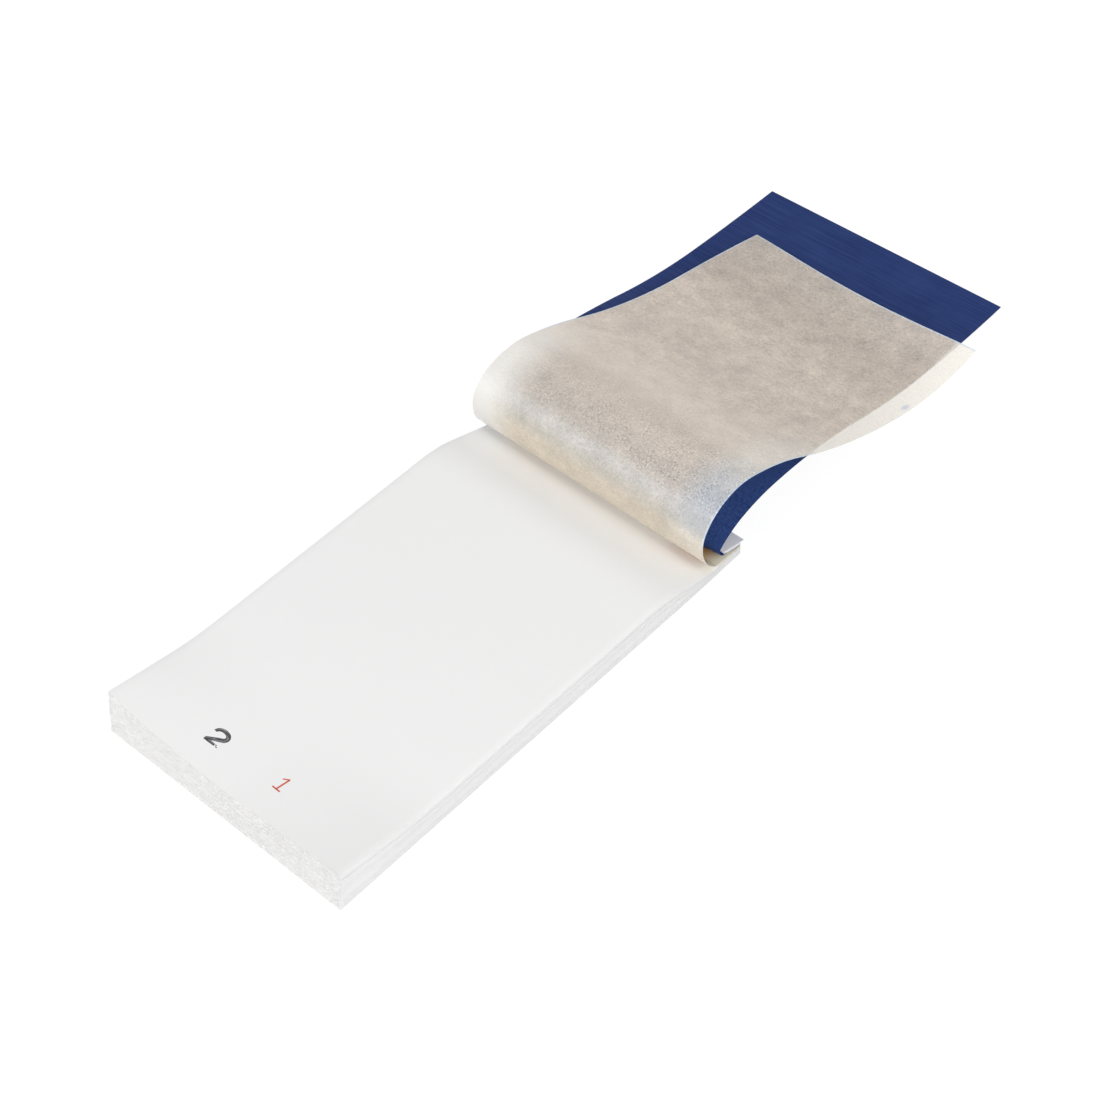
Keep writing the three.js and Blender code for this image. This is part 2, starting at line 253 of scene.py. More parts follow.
def paper(name, colour, roughness, cloud=0.02, fibre=0.02, relief=0.1, flat=False, stretch=(1, 1, 1),
          depth=0.04):
    """A matt paper; flat takes the grain from the sheet's own flat coordinates"""
    material, tree, surface = new_material(name)
    source, scale = ("UV", FLAT_UNIT) if flat else ("Object", 1000)
    place = add_node(tree, "ShaderNodeMapping", {
        "Vector": add_node(tree, "ShaderNodeTexCoord").outputs[source],
        "Scale": tuple(scale / k for k in stretch)})
    pulp = add_node(tree, "ShaderNodeGroup", {
        "Place": place.outputs[0], "Colour": (*colour, 1), "Cloud": cloud, "Fibre": fibre}, node_tree=grain)
    bump = add_node(tree, "ShaderNodeBump", {
        "Height": pulp.outputs["Height"], "Strength": relief, "Distance": depth / 1000})
    tree.links.new(pulp.outputs["Colour"], surface.inputs["Base Color"])
    tree.links.new(bump.outputs[0], surface.inputs["Normal"])
    surface.inputs["Roughness"].default_value = roughness
    surface.inputs["Specular IOR Level"].default_value = 0.3
    return material


slip_edge = paper("slip_edge", (0.945, 0.945, 0.95), 0.9, cloud=0.05, fibre=0.17, relief=0.3,
                  stretch=(2.4, 1.6, 1.8), depth=0.12)
tissue_edge = paper("tissue_edge", (0.92, 0.91, 0.905), 0.9, cloud=0.05, fibre=0.2, relief=0.3,
                    stretch=(2.4, 1.6, 1.8), depth=0.12)
# Cut sides painted darker than the free edges of the same paper: painted shade against the right lamp.
cut_side_painted_shade = paper("cut_side_painted_shade", (0.812, 0.812, 0.815), 0.9, cloud=0.03, fibre=0.06, relief=0.3,
                 stretch=(1.5, 4, 1.2), depth=0.06)

CRINKLE = waves(14, 1.2, 22)
RAGGED = waves(16, 0.7, 9)
LEAVES = 48  # 24 slips and 24 tissues
SET_BACK = 1.4  # how far back the topmost leaf lies at the free end
LEAF_THICKNESS = {"slips": 0.16875, "tissues": 0.15625}
FREE_SHIFT, SIDE_SHIFT = 0.07, 0.035  # how far the leaves lie out of line
RAGGED_DEPTH, POINT_DEPTH, CRUMB_DEPTH = 0.07, 0.03, 0.10  # the free edge's waves, points and crumbs
WOBBLE, CRUMB_TILT, WOBBLE_REACH = 0.09, 0.09, 9  # how the free end waves up and down
CRUMB_LEAVES = 2.2  # a crumb of the ragged edge goes through so many leaves
FRAME_WIDTH = 5.0
SWOLLEN_END = FREE + 30
front_x = np.linspace(-HALF, HALF, 191)
back_x = front_x[::-5][1:]
side_y = np.concatenate([np.linspace(FREE, SWOLLEN_END, 21), np.linspace(SWOLLEN_END, BINDING, 40)[1:]])
right_y, left_y = side_y[1:], side_y[::-1][1:-1]
rims = {kind: ([], [], []) for kind in LEAF_THICKNESS}  # points, faces, and 1 for a face at a cut side
crumbs = rng.normal(0, 1, (2, LEAVES // 2 + 2, len(front_x)))
for leaf in range(LEAVES):
    share = (leaf + 0.5) / LEAVES
    kind = "slips" if leaf % 2 == 0 else "tissues"
    free_edge = FREE + SET_BACK * share + rng.normal(0, FREE_SHIFT)
    inset = abs(rng.normal(0, SIDE_SHIFT))
    row, part = divmod(leaf / CRUMB_LEAVES, 1)
    crumb, tilt = (1 - part) * crumbs[:, int(row)] + part * crumbs[:, int(row) + 1]
    sides = [  # x, y, inward x, inward y, how ragged
        (front_x, np.full_like(front_x, free_edge), 0, 1, 1.0),
        (np.full_like(right_y, HALF - inset), right_y, -1, 0, 0.0),
        (back_x, np.full_like(back_x, BINDING - inset), 0, -1, 0.0),
        (np.full_like(left_y, -HALF + inset), left_y, 1, 0, 0.0),
    ]
    outer, inner = [], []
    for xs, ys, inward_x, inward_y, ragged in sides:
        rough = RAGGED_DEPTH * add_up(RAGGED, xs, leaf * 2.3) + POINT_DEPTH * rng.normal(0, 1, len(xs))
        ys = np.maximum(ys, free_edge) + ragged * rough + (CRUMB_DEPTH * crumb if ragged else 0)
        outer.append(np.stack([xs, ys], 1))
        inner.append(np.stack([
            np.clip(xs + inward_x * FRAME_WIDTH, -HALF + FRAME_WIDTH, HALF - FRAME_WIDTH),
            np.clip(ys + inward_y * FRAME_WIDTH, free_edge + FRAME_WIDTH, BINDING - FRAME_WIDTH)], 1))
    outer, inner = np.concatenate(outer), np.concatenate(inner)
    near = np.clip(1 - (outer[:, 1] - FREE) / WOBBLE_REACH, 0, 1)
    wobble = near * WOBBLE * add_up(CRINKLE, outer[:, 0] + 3 * math.sin(leaf), leaf * 0.9)
    wobble[:len(front_x)] += CRUMB_TILT * tilt
    highest = page_height(*outer.T) - LEAST_ROOM - LEAF_THICKNESS[kind] * squeeze(*outer.T) / 2
    middle = np.minimum(leaf_height(*outer.T, share) + wobble, highest)
    inside = leaf_height(*inner.T, share)
    count = len(outer)
    points, faces, cuts = rims[kind]
    base = len(points)
    for place, level, lift in (
            (inner, inside, 0.5), (outer, middle, 0.5), (outer, middle, -0.5), (inner, inside, -0.5)):
        level = level + lift * LEAF_THICKNESS[kind] * squeeze(*place.T)
        points.extend(np.column_stack([place, level]).tolist())
    for a in range(base, base + 3 * count, count):
        b = a + count
        faces.extend((b + i, b + (i + 1) % count, a + (i + 1) % count, a + i) for i in range(count))
        cuts.extend(int(i >= len(front_x) - 1) for i in range(count))

bundle_nodes = sorted(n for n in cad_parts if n.startswith("sets_"))
for kind, material, slot in (("slips", slip_edge, "paper"), ("tissues", tissue_edge, "copying_tissue")):
    points, faces, cuts = rims[kind]
    block = make_piece(f"block_{kind}", points, faces, [material, cut_side_painted_shade], smooth=False)
    block.data.polygons.foreach_set("material_index", cuts)
    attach(block, "pad")
    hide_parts(*bundle_nodes[kind == "tissues" :: 2])


# The next slip, numbered near its free end, and the tissue under it: whole leaves, creased across
# where the stack comes back to full height. Their perforation lies under the roll and is left out.
def quads_of(index):
    """The faces of a grid of point numbers"""
    return np.stack([index[:-1, :-1], index[:-1, 1:], index[1:, 1:], index[1:, :-1]], 2).reshape(-1, 4)


def page(name, lift, thickness, back, material, step=1.0):
    """A whole leaf as a closed thin shell, in the shape of the top page"""
    creased = BINDING - 31
    xs = np.linspace(-HALF, HALF, int(WIDTH / step) + 1)
    ys = np.concatenate([np.linspace(FREE + back, SWOLLEN_END, 31), np.linspace(SWOLLEN_END, creased, 30)[1:],
                         np.linspace(creased, BINDING, 45)[1:]])
    grid_x, grid_y = np.meshgrid(xs, ys)
    edge = np.clip(1 - (grid_y - FREE - back) / 8, 0, 1)
    rough = 0.05 * add_up(RAGGED, grid_x, 90 + lift) + rng.normal(0, 0.07, grid_x.shape)
    rough = np.where(grid_y == ys[0], rough, 0)
    top = page_height(grid_x, grid_y) + lift + 0.03 * edge ** 2 * add_up(CRINKLE, grid_x, 60)
    rows, columns = grid_x.shape
    index = np.arange(rows * columns).reshape(rows, columns)
    faces = [*quads_of(index).tolist(), *quads_of(index + rows * columns)[:, ::-1].tolist()]
    ring = np.concatenate([index[0, :], index[1:, -1], index[-1, -2::-1], index[-2:0:-1, 0]])
    points = np.concatenate([
        np.stack([grid_x, grid_y + rough, level], 2).reshape(-1, 3) for level in (top, top - thickness)])
    start = len(points)
    points = np.concatenate([points, points[ring], points[ring + rows * columns]])
    n = len(ring)
    faces.extend((start + n + i, start + n + (i + 1) % n, start + (i + 1) % n, start + i) for i in range(n))
    flat = points[:, :2] + (HALF + FLAT_MARGIN, BINDING + FLAT_MARGIN)
    return make_piece(name, points, faces, [material], uv=flat)


page_white = paper("page_white", (0.885, 0.885, 0.885), 0.8, cloud=0.012, fibre=0.012, relief=0.12)
tissue_page = paper("tissue_page", (0.89, 0.88, 0.86), 0.7, cloud=0.04, fibre=0.05, relief=0.3)
next_slip = page("next_slip", 0.0, 0.08, SET_BACK, page_white, step=0.5)
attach(next_slip, "pad")
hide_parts("original_2")
next_tissue = page("next_tissue", -0.14, 0.04, 1.35, tissue_page)
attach(next_tissue, "pad")
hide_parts("duplicate_2")


# The turned-back sheets: each is one strip of paper, bound flat under the staples, creased or rolled,
# and let fall beyond the binding. A run is its length with the turns of its left and right edges, and
# beyond the right staple the bound sheets stand a little apart. A free end may sag between its sides.
SAG_START = 92
RIGHT_STAPLE, BEYOND_STAPLE = 24, 14
SHEET_THICKNESS = 0.07


class Sheet:
    """A strip of paper: places along it, each with its sideways shift and both edges' y, z and heading"""

    def __init__(self, level, runs, drift=0.0, drift_start=0.0, crease=(0, 0, 0),
                 apart=((0, 0, 0), (1, 0, 0)), step=0.5, sag=0.0):
        here = [[BINDING, level, 180.0], [BINDING, level, 180.0]]
        rows = [(0.0, 0.0, *here[0], *here[1])]
        along = 0.0
        for number, (length, *turns) in enumerate(runs):
            if number and number == crease[0]:
                for side, turn in zip(here, crease[1:]):
                    side[2] += turn
                rows.append((along, rows[-1][1], *here[0], *here[1]))
            steps = math.ceil(length / (step if max(map(abs, turns)) > 20 else 1.5))
            for _ in range(steps):
                along += length / steps
                for side, turn in zip(here, turns):
                    heading = math.radians(side[2] + turn / steps / 2)
                    side[0] += math.cos(heading) * length / steps
                    side[1] += math.sin(heading) * length / steps
                    side[2] += turn / steps
                rows.append((along, drift * max(0.0, along - drift_start), *here[0], *here[1]))
        self.rows = np.array(rows)
        self.length = along
        self.apart = np.array(apart, float)
        self.sag = sag

    def at(self, along, across):
        """Point and normal at a distance along the sheet and a share across it"""
        row = [np.interp(along, self.rows[:, 0], self.rows[:, k]) for k in range(1, 8)]
        shift, y0, z0, h0, y1, z1, h1 = row
        heading = np.radians(h0 + (h1 - h0) * across)
        loose = np.clip((along - SAG_START) / (self.length - SAG_START), 0, 1) ** 2 * self.sag
        bowed = np.sqrt(4 * across * (1 - across))
        slope = 6 * bowed * (2 * across - 1) / WIDTH * loose
        normal = np.stack([-slope * np.cos(heading), -np.sin(heading), np.cos(heading)], -1)
        normal /= np.linalg.norm(normal, axis=-1)[..., None]
        x = -HALF + WIDTH * across
        corner = np.clip((x - RIGHT_STAPLE) / BEYOND_STAPLE, 0, 1)
        corner = corner * corner * (3 - 2 * corner)
        push_y, push_z = (np.interp(along, self.apart[:, 0], self.apart[:, k]) * corner for k in (1, 2))
        y = y0 + (y1 - y0) * across + push_y
        z = z0 + (z1 - z0) * across + push_z - bowed ** 3 * loose
        return np.stack([x + shift, y, z], -1), normal


def sheet_piece(name, sheet, span, material, bodies, hinge, spread, ends,
                thickness=SHEET_THICKNESS, columns=64, torn=0.0):
    """A stretch of a sheet as a thin shell: with one body it goes with that body, with two it stays where it
    lies
    """
    first, last = span
    places = sheet.rows[:, 0]
    stops = np.unique([first, last, *places[(places > first) & (places < last)]])
    for place in places[:-1][np.diff(places) == 0]:
        if first < place < last:  # a crease gets a row of points close on either side
            stops = np.sort(np.append(stops[np.abs(stops - place) > 0.05], [place - 0.12, place + 0.12]))
    along, share = np.meshgrid(stops, np.linspace(0, 1, columns + 1), indexing="ij")
    along[-1] += torn * np.abs(np.arange(columns + 1) % 4 - 2) / 2
    index = np.arange(along.size).reshape(along.shape)
    flat = np.stack([share * WIDTH + FLAT_MARGIN, along + FLAT_MARGIN], -1).reshape(-1, 2)
    middle, normal = (part.reshape(-1, 3) for part in sheet.at(along, share))
    upper, lower = middle + normal * (thickness / 2), middle - normal * (thickness / 2)
    points, normals, flats = [upper, lower], [normal, -normal], [flat, flat]
    faces = [*quads_of(index).tolist(), *quads_of(index + along.size)[:, ::-1].tolist()]
    rings = [(index[:, 0], (-1, 0, 0), 1), (index[:, -1], (1, 0, 0), -1)]
    if ends[0]:
        rings.append((index[0, :], None, -1))
    if ends[1]:
        rings.append((index[-1, :], None, 1))
    start = 2 * along.size
    for ring, outwards, order in rings:
        n = len(ring)
        if outwards is None:
            rim = np.stack([np.zeros(n), normal[ring, 2], -normal[ring, 1]], 1) * -order
        else:
            rim = np.tile(outwards, (n, 1))
        points += [upper[ring], lower[ring]]
        normals += [rim, rim]
        flats += [flat[ring], flat[ring]]
        faces.extend((i, i + 1, n + i + 1, n + i)[::order] for i in range(start, start + n - 1))
        start += 2 * n
    piece = make_piece(name, np.concatenate(points), faces, [material], uv=np.concatenate(flats),
                       normals=np.concatenate(normals))
    if bodies[1] is None:
        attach(piece, bodies[0])
    else:
        a, b = (sheet.at(hinge + side, 0.5)[0] / 1000 for side in (-spread, spread))
        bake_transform(piece)
    return piece


def sheet_chain(name, sheet, material, bound_edge, folds):
    """A whole sheet, cut midway between its folds: each is its place, half its spread and the next body"""
    places = [place for place, _, _ in folds]
    cuts = [0.0, *((a + b) / 2 for a, b in zip(places, places[1:])), sheet.length]
    before = "pad"
    for number, (place, spread, body) in enumerate(folds):
        piece = sheet_piece(
            f"{name}_{number + 1}", sheet, cuts[number:number + 2], material, (before, body),
            place, spread, (number == 0, number == len(folds) - 1))
        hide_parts(body, *([bound_edge] if number == 0 else []))
        before = body


# The first duplicate: a thin unsized copying tissue, cloudy and half clear, so that it looks cream
# over white and greige where it lies close over the carbon. It is creased sharply at the staples and
# rolled wide; where it stands away from the carbon, a milky glow is painted into its colour.
tissue = Sheet(
    3.2, [(4.9, 0, 0), (4.4, -7.3, -11.1), (12, -60.6, -49.1), (12.4, -63.35, -52.65), (12.9, -38.3, -53.4),
          (19.3, -11.9, -18.5), (40.9, 17.05, 18.5), (30.9, -4.2, 31.3)],
    drift=0.06, drift_start=25, crease=(2, -22.4, -24.4), sag=2.0,
    apart=((0, 0, 0.3), (5, 0, 0.6), (8, 0, 0.5), (11, 0, 0)))


def flat_place(tree):
    """A sheet's flat coordinates in millimetres: as a vector, across it and along it"""
    unrolled = add_node(tree, "ShaderNodeTexCoord").outputs["UV"]
    flat = add_node(tree, "ShaderNodeMapping", {"Vector": unrolled, "Scale": (FLAT_UNIT,) * 3}).outputs[0]
    parts = add_node(tree, "ShaderNodeSeparateXYZ", {"Vector": flat}).outputs
    return flat, parts["X"], parts["Y"]


def ramp_of(tree, value, stops, low=FLAT_MARGIN, high=FLAT_MARGIN + LENGTH):
    """A colour, or a grey given as a number, that follows a flat coordinate in millimetres"""
    share = add_node(tree, "ShaderNodeMapRange", {"Value": value, "From Min": low, "From Max": high})
    ramp = add_node(tree, "ShaderNodeValToRGB", {"Fac": share.outputs[0]})
    ramp.color_ramp.interpolation = "EASE"
    points = ramp.color_ramp.elements
    while len(points) < len(stops):
        points.new(0.5)
    for point, (at, colour) in zip(points, stops):
        point.position = (at - low) / (high - low)
        point.color = (*colour, 1) if isinstance(colour, tuple) else (colour, colour, colour, 1)
    return ramp.outputs[0]


def spread_of(tree, value, low, high, least=0.0, most=1.0, curve="LINEAR"):
    """A value brought from the range low to high into the range least to most"""
    return add_node(tree, "ShaderNodeMapRange", {
        "Value": value, "From Min": low, "From Max": high, "To Min": least, "To Max": most},
        interpolation_type=curve).outputs[0]


def window(tree, value, low, high, rising=True):
    """A soft mask that rises, or falls, between two lengths in millimetres"""
    return spread_of(tree, value, low, high, *((0, 1) if rising else (1, 0)), "SMOOTHSTEP")


def mixed(tree, share, a, b):
    """Two colours, or two nodes' outputs, mixed by a share"""
    a, b = ((*colour, 1) if isinstance(colour, tuple) else colour for colour in (a, b))
    return add_node(tree, "ShaderNodeMix", {"Factor": share, 6: a, 7: b}, data_type="RGBA").outputs[2]


def swing(tree, value, size):
    """A noise made to swing by half its size to either side of nothing"""
    return reckon(tree, "MULTIPLY", reckon(tree, "SUBTRACT", value, 0.5), size)


# Its pulp: soft clouds, a felted grain and stray fibres, and a fine dark speckle where it touches the
# carbon. Every place on it is a flat coordinate: millimetres across it and along it, from FLAT_MARGIN.
flimsy, tree, surface = new_material("copying_tissue")
flat, across, along = flat_place(tree)
felt = noise(tree, flat, 1.15, 5, 0.68, 0.8)
speck = noise(tree, flat, 2.0, 3, 0.7)
strand = reckon(tree, "SUBTRACT", noise(tree, flat, 0.7, 2, 0.5, 2.6), 0.5)
strand = spread_of(tree, reckon(tree, "ABSOLUTE", strand, 0.0), 0.0, 0.035, 1.0, 0.0)
pulp = reckon(tree, "ADD", swing(tree, felt, 0.78), swing(tree, noise(tree, flat, 0.17, 3, 0.6), 0.55))
pulp = reckon(tree, "ADD", pulp, reckon(tree, "MULTIPLY", strand, 0.09))
grainy = ramp_of(tree, along, [(18, 0.35), (45, 0.8), (62, 0.45), (92, 0.9)])
pulp = reckon(tree, "MULTIPLY", pulp, grainy)
touching = ramp_of(tree, along, [(18, 0.1), (35, 0.2), (40, 0.35), (44, 0.72), (54, 0.62), (64, 0.25)])
patchy = spread_of(tree, noise(tree, flat, 0.33, 2, 0.5), 0.35, 0.65, 0.35, 1.4)
rightwards = reckon(tree, "ADD", reckon(tree, "MULTIPLY", across, 0.011), 0.5)
specks = reckon(tree, "MULTIPLY", swing(tree, speck, 1.5), touching)
specks = reckon(tree, "MULTIPLY", specks, reckon(tree, "MULTIPLY", patchy, rightwards))

# The margin that lies beside the carbon is smooth, and painted paler: painted light for the white table
# that shows through it. It is narrow by the roll. The left end of the roll stands well clear of the carbon;
# it is smooth there, and painted milky: a painted glow of the light let through it.
margin = reckon(tree, "MAXIMUM", reckon(tree, "SUBTRACT", 120.0, along), 0.0)
margin = reckon(tree, "MULTIPLY", reckon(tree, "MULTIPLY", margin, margin), 0.0033)
margin = reckon(tree, "ADD", margin, 80.15)
margin = reckon(tree, "SUBTRACT", across, margin)
painted_pale_margin = reckon(tree, "MULTIPLY", window(tree, margin, -0.7, 0.2), window(tree, along, 72, 80))
milky_painted_glow = reckon(tree, "MULTIPLY", window(tree, across, 12, 26, False), window(tree, along, 52, 80, False))
smooth = reckon(tree, "ADD", reckon(tree, "MULTIPLY", painted_pale_margin, 0.65), reckon(tree, "MULTIPLY", milky_painted_glow, 0.75))
smooth = reckon(tree, "SUBTRACT", 1.0, smooth)
mottle = reckon(tree, "MULTIPLY", reckon(tree, "ADD", pulp, specks), smooth)

# Its colour along its length, with painted light and shade fitted to these lamps: cream where it turns
# under, partly a painted glow of light let through; darker where the lamps fall strongest on the roll; a pale
# painted sheen band along the roll; then greige over the carbon, lighter on the leaf, darker towards its end.
tissue_colour_and_painted_light = ramp_of(tree, along, [
    (19, (0.97, 0.86, 0.70)), (24, (0.94, 0.82, 0.67)), (28, (0.84, 0.745, 0.61)), (33, (0.755, 0.67, 0.55)),
    (36.5, (0.68, 0.635, 0.56)), (39.5, (0.70, 0.67, 0.635)), (45, (0.675, 0.61, 0.545)),
    (54, (0.815, 0.73, 0.64)), (70, (0.93, 0.83, 0.725)), (82, (0.93, 0.82, 0.72)), (92, (0.85, 0.745, 0.655)),
    (110, (0.865, 0.765, 0.66)), (130, (0.725, 0.64, 0.56)), (142, (0.735, 0.66, 0.58))])
cover = ramp_of(tree, along, [
    (16, 0.86), (22, 0.82), (34, 0.79), (37, 0.72), (41, 0.66), (46, 0.60), (54, 0.62), (66, 0.74),
    (90, 0.68), (130, 0.61)])
# Painted milky glow for the left end of the roll: light let through the tissue, painted into its colour.
painted_milk_colour = ramp_of(tree, along, [(40, (0.82, 0.805, 0.77)), (54, (0.92, 0.895, 0.85)), (64, (0.92, 0.89, 0.84))])
tissue_colour_and_painted_light = mixed(tree, milky_painted_glow, tissue_colour_and_painted_light, painted_milk_colour)
# Its right end is painted with the light and shade it shows: paler where it turns under and on the leaf;
# neutral grey where the roll turns over, a painted sheen, then blue-grey and darker, a painted shade.
right_end_painted_light = ramp_of(tree, along, [
    (18, (0.94, 0.84, 0.70)), (26, (0.90, 0.81, 0.67)), (33, (0.84, 0.78, 0.68)), (38, (0.66, 0.665, 0.67)),
    (45, (0.56, 0.585, 0.62)), (51, (0.70, 0.70, 0.71)), (58, (0.86, 0.83, 0.78)), (66, (0.95, 0.89, 0.81)),
    (90, (0.96, 0.90, 0.82))])
right_end = reckon(tree, "MULTIPLY", window(tree, across, 71, 82), window(tree, along, 76, 96, False))
tissue_colour_and_painted_light = mixed(tree, right_end, tissue_colour_and_painted_light, right_end_painted_light)
# The margin painted paler: painted light for the white table that shows through it.
tissue_colour_and_painted_light = mixed(tree, painted_pale_margin, tissue_colour_and_painted_light, (0.99, 0.95, 0.87))
# Inside the open end of the roll it is painted brown, a painted shade, and tan towards its cut edge, a
# painted glow of light let through there.
bowl = reckon(tree, "MULTIPLY", window(tree, across, 68, 77), window(tree, along, 20, 24, False))
bowl_painted_shade_and_glow = mixed(tree, window(tree, across, 80, 85.5), (0.62, 0.34, 0.13), (1.0, 0.93, 0.72))
tissue_colour_and_painted_light = mixed(tree, bowl, tissue_colour_and_painted_light, bowl_painted_shade_and_glow)
# One smudge of carbon blue at the margin's edge, and a thin pale blue-white painted highlight along the cut
# edges over the carbon.
smudge_wide, smudge_long = 0.9, 1.7
smudge = add_node(tree, "ShaderNodeMapping", {
    "Vector": flat, "Location": (-84.5 / smudge_wide, -121.2 / smudge_long, 0),
    "Scale": (1 / smudge_wide, 1 / smudge_long, 0)})
smudge = add_node(tree, "ShaderNodeVectorMath", {0: smudge.outputs[0]}, operation="LENGTH").outputs["Value"]
smudge = reckon(tree, "MULTIPLY", window(tree, smudge, 0.2, 1.3, False), 0.6)
tissue_colour_and_painted_light = mixed(tree, smudge, tissue_colour_and_painted_light, (0.38, 0.50, 0.70))
# The cut edges' pale blue-white line is a painted highlight, where they catch the light.
left_rim = reckon(tree, "MULTIPLY", window(tree, across, 10.15, 10.6, False), window(tree, along, 60, 66))
right_rim = reckon(tree, "MULTIPLY", window(tree, across, 85.4, 85.85), window(tree, along, 78, 84, False))
rim = reckon(tree, "MAXIMUM", left_rim, right_rim)
free_rim = tissue.length + FLAT_MARGIN
rim = reckon(tree, "MAXIMUM", rim, window(tree, along, free_rim - 0.65, free_rim - 0.15))
rim = reckon(tree, "MULTIPLY", rim, reckon(tree, "MULTIPLY", window(tree, along, 28, 36), 0.75))
tissue_colour_and_painted_light = mixed(tree, rim, tissue_colour_and_painted_light, (0.66, 0.78, 0.90))
toned = reckon(tree, "ADD", reckon(tree, "MULTIPLY", mottle, 0.3), 1.0)
tissue_colour_and_painted_light = add_node(tree, "ShaderNodeVectorMath", {0: tissue_colour_and_painted_light, "Scale": toned}, operation="SCALE").outputs[0]

# It hides more of what lies under it where it is milky, at its rims and inside the roll.
dense = reckon(tree, "ADD", cover, mottle)
dense = reckon(tree, "ADD", dense, reckon(tree, "MULTIPLY", milky_painted_glow, 0.28))
dense = reckon(tree, "ADD", dense, reckon(tree, "MULTIPLY", bowl, 0.2))
dense = reckon(tree, "SUBTRACT", dense, reckon(tree, "MULTIPLY", painted_pale_margin, 0.1))
dense = reckon(tree, "ADD", dense, reckon(tree, "MULTIPLY", rim, 0.2), use_clamp=True)
bump = add_node(tree, "ShaderNodeBump", {
    "Height": reckon(tree, "ADD", felt, speck), "Strength": 0.5, "Distance": 0.00012})
tree.links.new(tissue_colour_and_painted_light, surface.inputs["Base Color"])
tree.links.new(dense, surface.inputs["Alpha"])
tree.links.new(bump.outputs[0], surface.inputs["Normal"])
surface.inputs["Roughness"].default_value = 0.36
surface.inputs["Specular IOR Level"].default_value = 0.5

sheet_chain("tissue", tissue, flimsy, "duplicate_1_bound_edge", [
    (9.3, 1.2, "duplicate_1_roll_1"), (21.3, 5.5, "duplicate_1_roll_2"), (33.7, 5.5, "duplicate_1_roll_3"),
    (46.6, 5.5, "duplicate_1_leaf")])


# The first carbon: blue one-time carbon tissue, waxy, with fine streaks across the web from its coating
# rolls. It turns tightly over the stub and runs out under the tissue to the table.
carbon = Sheet(
    3.4, [(4.9, 0, 0), (2.6, -15.1, -16.7), (5.7, -97, -118.7), (10.6, -41.25, -29.6), (12, -36.1, -16.1),
          (36, -6.7, -16), (32.7, 10.45, 10.45), (35.4, 2.9, 6.6)],
    drift=-0.0264, drift_start=14.4, step=0.4,
    apart=((0, 0, 0.8), (2.3, 0, 1.2), (4.6, 0, 1.9), (6.6, 0.2, 2.2), (8.5, 0.9, 2.0), (10.5, 1.3, 1.6),
           (12.5, 0.9, 0.9), (15, 0.2, 0.3), (18, 0, 0)))

coated, tree, surface = new_material("carbon_coating")
flat, across, along = flat_place(tree)
drawn_out = add_node(tree, "ShaderNodeMapping", {
    "Vector": add_node(tree, "ShaderNodeTexCoord").outputs["UV"], "Scale": (8, 460, 200)}).outputs[0]
streaks = reckon(tree, "MULTIPLY", noise(tree, drawn_out, 1.0, 3, 0.6), 1.45)
coat = reckon(tree, "ADD", streaks, reckon(tree, "MULTIPLY", noise(tree, flat, 0.12, 3), 0.5))
coat = reckon(tree, "ADD", coat, reckon(tree, "MULTIPLY", noise(tree, flat, 3.2, 3, 0.75), 0.6))
tone = spread_of(tree, coat, 0.8, 1.72)
blue = mixed(tree, tone, (0.006, 0.019, 0.105), (0.031, 0.062, 0.205))
# Where it turns over it has lighter blue flecks: partly its speckled coating, partly painted light that
# lifts the shade inside the loop.
flecks_and_painted_light = spread_of(tree, noise(tree, flat, 1.2, 4, 0.75), 0.4, 0.7, 0.15, 0.9)
flecks_and_painted_light = reckon(tree, "MULTIPLY", flecks_and_painted_light, window(tree, along, 40, 75, False))
bump = add_node(tree, "ShaderNodeBump", {"Height": coat, "Strength": 0.3, "Distance": 0.00005})
tree.links.new(mixed(tree, flecks_and_painted_light, blue, (0.045, 0.10, 0.31)), surface.inputs["Base Color"])
tree.links.new(bump.outputs[0], surface.inputs["Normal"])
surface.inputs["Roughness"].default_value = 0.6
surface.inputs["Specular IOR Level"].default_value = 0.12

sheet_chain("carbon", carbon, coated, "carbon_bound_edge", [
    (10.35, 1.4, "carbon_roll_1"), (23.8, 5.5, "carbon_roll_2"), (35.8, 5.5, "carbon_leaf")])


# The numbers: printed on the slip near its free end, a bold grey-black figure and a thin red one.
# Each stroke is a narrow strip that follows the page, and its ink has run thin in streaks along it.
def ink_strip(path, widths, columns=5):
    """A stroke as a strip of quads, with its flat coordinates along and across it"""
    path = np.asarray(path, float)
    tangent = np.gradient(path, axis=0)
    tangent /= np.linalg.norm(tangent, axis=1)[:, None]
    side = np.stack([-tangent[:, 1], tangent[:, 0]], 1)
    widths = np.broadcast_to(np.asarray(widths, float), (len(path),))
    across = np.linspace(-0.5, 0.5, columns)
    points = path[:, None, :] + side[:, None, :] * (widths[:, None] * across)[..., None]
    run = np.concatenate([[0], np.cumsum(np.linalg.norm(np.diff(path, axis=0), axis=1))])
    flat = np.stack(np.broadcast_arrays(run[:, None] + 20, across * 4 + 20), -1)
    index = np.arange(len(path) * columns).reshape(-1, columns)
    return points.reshape(-1, 2), flat.reshape(-1, 2), quads_of(index)[:, ::-1]


def print_figure(name, strokes, centre, material, lift=0.012):
    """A figure made of its strokes, lying a hair above the page"""
    points, flats, faces = [], [], []
    for path, widths in strokes:
        point, flat, quads = ink_strip(path, widths)
        faces += (quads + sum(map(len, points))).tolist()
        points.append(point)
        flats.append(flat)
    flat_points = np.concatenate(points) + centre
    height = page_height(*flat_points.T) + lift
    points = np.column_stack([flat_points, height])
    figure = make_piece(name, points, faces, [material], uv=np.concatenate(flats))
    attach(figure, "pad")


